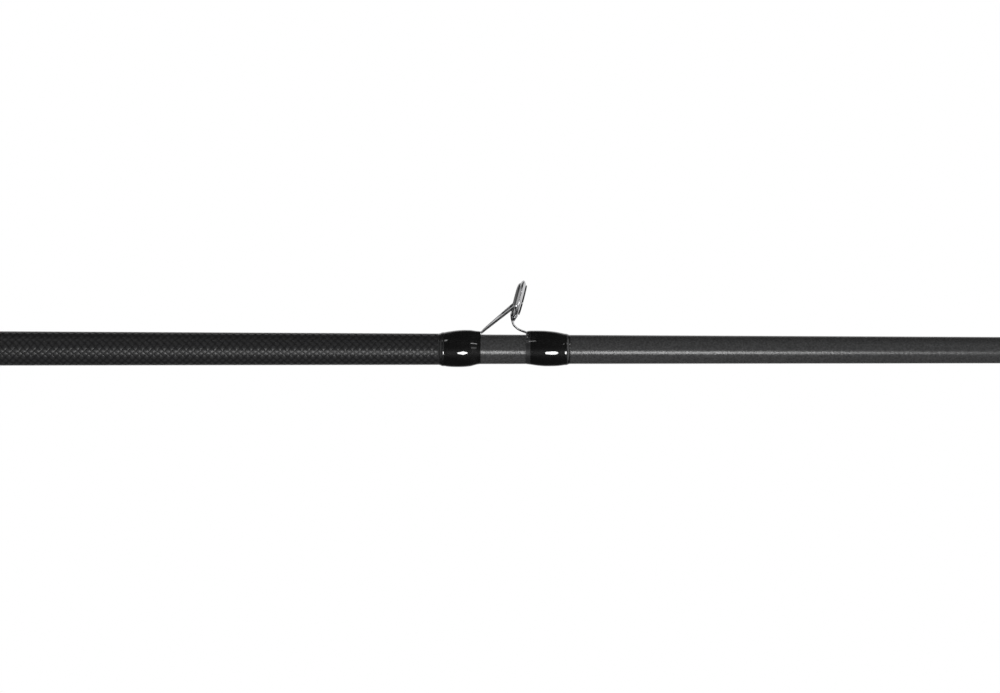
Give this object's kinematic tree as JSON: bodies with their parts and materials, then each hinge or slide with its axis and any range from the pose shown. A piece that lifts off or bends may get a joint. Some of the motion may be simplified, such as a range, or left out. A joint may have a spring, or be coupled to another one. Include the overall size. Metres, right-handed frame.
{
  "type": "spinning rod",
  "caption": "Two-piece carbon spinning rod with a screw reel seat, foam grips, a folding hook keeper, leaning K-frame line guides bound on with thread, and a tip top.",
  "frame": {"origin": "centre of the butt cap's flat end face, on the blank's axis", "axes": "+X from the butt to the tip along the blank, +Z towards the guides, the reel foot's land and the hook keeper, +Y to the left when looking to the tip with the guides up"},
  "size_m": [2.1329, 0.0292, 0.059],
  "materials": {
    "butt_blank": "woven carbon under a thin clear coat",
    "tip_blank": "woven carbon to the third guide, then satin dark grey carbon",
    "thread_epoxy": "black thread under glossy epoxy, with a fine silver trim band",
    "guide_steel": "polished stainless steel",
    "guide_ceramic": "polished dark grey ceramic",
    "grip_foam": "matt closed-cell foam",
    "rubber_cap": "matt moulded rubber",
    "trim_metal": "gunmetal anodised",
    "nut_metal": "gunmetal anodised, fluted",
    "seat_plastic": "satin moulded graphite composite",
    "hood_metal": "brushed stainless steel",
    "hood_liner": "matt moulded",
    "seat_arbor": "rigid foam",
    "keeper_steel": "polished stainless wire and strip"
  },
  "bodies": {
    "handle_section": {"butt_blank": "butt_blank", "butt_cap": "rubber_cap", "butt_trim_ring": "trim_metal", "ferrule_male_binding": "thread_epoxy", "fixed_hood": "hood_metal", "fixed_hood_liner": "hood_liner", "fore_grip": "grip_foam", "fore_grip_check": "trim_metal", "front_seat_arbor": "seat_arbor", "guide_1_frame": "guide_steel", "guide_1_front_binding": "thread_epoxy", "guide_1_rear_binding": "thread_epoxy", "guide_1_ring": "guide_ceramic", "keeper_base": "keeper_steel", "keeper_front_binding": "thread_epoxy", "keeper_rear_binding": "thread_epoxy", "rear_grip": "grip_foam", "rear_grip_check": "trim_metal", "rear_seat_arbor": "seat_arbor", "reel_seat": "seat_plastic", "seat_grip": "grip_foam", "seat_grip_check": "trim_metal", "seat_trim_ring": "trim_metal"},
    "hood_slider": {"sliding_hood": "hood_metal", "sliding_hood_liner": "hood_liner"},
    "locking_nut": {"lock_nut": "nut_metal"},
    "folding_keeper": {"keeper_ring": "keeper_steel"},
    "tip_section": {"ferrule_female_binding": "thread_epoxy", "guide_2_frame": "guide_steel", "guide_2_front_binding": "thread_epoxy", "guide_2_rear_binding": "thread_epoxy", "guide_2_ring": "guide_ceramic", "guide_3_frame": "guide_steel", "guide_3_front_binding": "thread_epoxy", "guide_3_rear_binding": "thread_epoxy", "guide_3_ring": "guide_ceramic", "guide_4_frame": "guide_steel", "guide_4_rear_binding": "thread_epoxy", "guide_4_ring": "guide_ceramic", "guide_5_frame": "guide_steel", "guide_5_rear_binding": "thread_epoxy", "guide_5_ring": "guide_ceramic", "guide_6_frame": "guide_steel", "guide_6_rear_binding": "thread_epoxy", "guide_6_ring": "guide_ceramic", "guide_7_frame": "guide_steel", "guide_7_rear_binding": "thread_epoxy", "guide_7_ring": "guide_ceramic", "guide_8_frame": "guide_steel", "guide_8_rear_binding": "thread_epoxy", "guide_8_ring": "guide_ceramic", "guide_9_frame": "guide_steel", "guide_9_rear_binding": "thread_epoxy", "guide_9_ring": "guide_ceramic", "tip_blank": "tip_blank", "tip_top_binding": "thread_epoxy", "tip_top_frame": "guide_steel", "tip_top_ring": "guide_ceramic"}
  },
  "joints": [
    {"name": "ferrule_pull", "type": "slide", "parent": "handle_section", "child": "tip_section", "axis": [1, 0, 0], "range_m": [0, 0.1]},
    {"name": "nut_turn", "type": "hinge", "parent": "hood_slider", "child": "locking_nut", "pos_m": [0.302, 0, 0], "axis": [1, 0, 0], "range_deg": [0, 2160]},
    {"name": "hood_slide", "type": "slide", "parent": "handle_section", "child": "hood_slider", "axis": [1, 0, 0], "range_m": [0, 0.0181]},
    {"name": "keeper_fold", "type": "hinge", "parent": "handle_section", "child": "folding_keeper", "pos_m": [0.512, 0, 0.00762], "axis": [0, -1, 0], "range_deg": [0, 100]}
  ],
  "couplings": [
    {"joint": "hood_slide", "follows": "nut_turn", "m_per_rad": 0.00047746}
  ]
}
